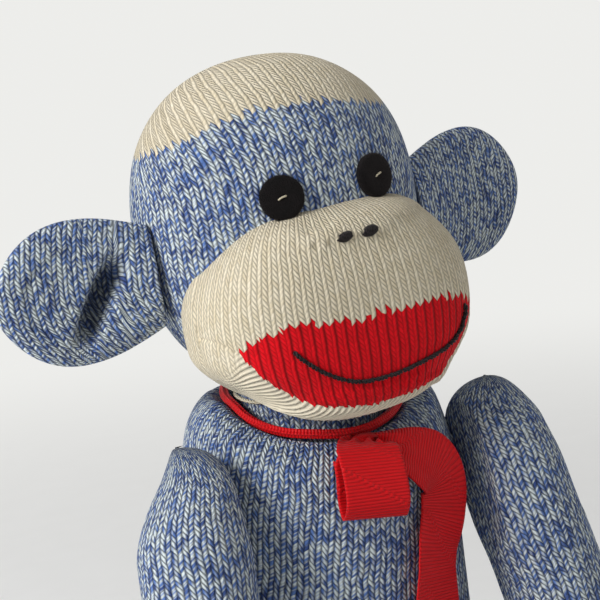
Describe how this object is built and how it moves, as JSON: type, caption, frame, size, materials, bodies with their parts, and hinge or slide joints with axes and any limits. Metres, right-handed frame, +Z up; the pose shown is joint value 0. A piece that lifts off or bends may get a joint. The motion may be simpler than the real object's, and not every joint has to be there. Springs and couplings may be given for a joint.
{
  "type": "sock monkey doll",
  "caption": "Sitting sock monkey doll of mottled knit with a padded muzzle, round felt eyes, cupped ears, long soft limbs, a tail and a ribbon tied round its neck.",
  "frame": {"origin": "middle of the flat that the doll sits on, level with the surface under it", "axes": "+Z up, -Y the way the doll faces, +X towards the doll's own left side"},
  "size_m": [0.1969, 0.4591, 0.2808],
  "materials": {
    "mottled_blue": "knitted, blue and cream mixed yarn",
    "cream_knit": "knitted, cream yarn",
    "red_knit": "knitted, red yarn",
    "black_felt": "felt",
    "black_thread": "stranded thread",
    "cream_thread": "thread",
    "red_ribbon": "ribbed ribbon with a slight sheen"
  },
  "bodies": {
    "torso": {"torso": "mottled_blue", "ribbon_band": "red_ribbon", "ribbon_knot": "red_ribbon", "ribbon_loop": "red_ribbon", "ribbon_tail_long": "red_ribbon", "ribbon_tail_short": "red_ribbon"},
    "neck": {"neck": "mottled_blue"},
    "neck_thread": {"neck_thread": "cream_thread"},
    "head": {"head": "mottled_blue", "muzzle": "cream_knit", "eye_left": "black_felt", "eye_right": "black_felt", "eye_stitch_left": "cream_thread", "eye_stitch_right": "cream_thread", "nostril_left": "black_thread", "nostril_right": "black_thread", "smile_stitch": "black_thread"},
    "ear_left": {"ear_left": "mottled_blue"},
    "ear_right": {"ear_right": "mottled_blue"},
    "arm_left": {"arm_left": "mottled_blue"},
    "arm_right": {"arm_right": "mottled_blue"},
    "leg_left": {"leg_left": "mottled_blue"},
    "leg_right": {"leg_right": "mottled_blue"},
    "tail": {"tail": "mottled_blue"}
  },
  "joints": [
    {"name": "neck_turn", "type": "hinge", "parent": "torso", "child": "neck", "pos_m": [0, -0.0228, 0.172], "axis": [0, 0, 1], "range_deg": [-25, 25], "stiffness_Nm_per_rad": 0.15},
    {"name": "neck_tilt", "type": "hinge", "parent": "neck", "child": "neck_thread", "pos_m": [0, -0.0228, 0.172], "axis": [0, 1, 0], "range_deg": [-4.5, 11.5], "stiffness_Nm_per_rad": 0.3},
    {"name": "head_nod", "type": "hinge", "parent": "neck_thread", "child": "head", "pos_m": [0, -0.0228, 0.172], "axis": [0.9981, 0, 0.061], "range_deg": [-5, 4], "stiffness_Nm_per_rad": 0.3},
    {"name": "ear_left_flap", "type": "hinge", "parent": "head", "child": "ear_left", "pos_m": [0.04477, -0.0238, 0.22183], "axis": [-0.061, 0, 0.9981], "range_deg": [-25, 25], "stiffness_Nm_per_rad": 0.02},
    {"name": "ear_right_flap", "type": "hinge", "parent": "head", "child": "ear_right", "pos_m": [-0.05051, -0.0238, 0.216], "axis": [-0.061, 0, 0.9981], "range_deg": [-25, 25], "stiffness_Nm_per_rad": 0.02},
    {"name": "arm_left_swing", "type": "hinge", "parent": "torso", "child": "arm_left", "pos_m": [0.0445, -0.0398, 0.146], "axis": [-1, 0, 0], "range_deg": [-45, 95]},
    {"name": "arm_right_swing", "type": "hinge", "parent": "torso", "child": "arm_right", "pos_m": [-0.0445, -0.0398, 0.146], "axis": [-1, 0, 0], "range_deg": [-45, 95]},
    {"name": "leg_left_swing", "type": "hinge", "parent": "torso", "child": "leg_left", "pos_m": [0.026, -0.0348, 0.0235], "axis": [-1, 0, 0], "range_deg": [-90, 15]},
    {"name": "leg_right_swing", "type": "hinge", "parent": "torso", "child": "leg_right", "pos_m": [-0.026, -0.0348, 0.0235], "axis": [-1, 0, 0], "range_deg": [-90, 15]},
    {"name": "tail_swing", "type": "hinge", "parent": "torso", "child": "tail", "pos_m": [0, 0.01953, 0.021], "axis": [0, 0, 1], "range_deg": [-35, 35]}
  ]
}
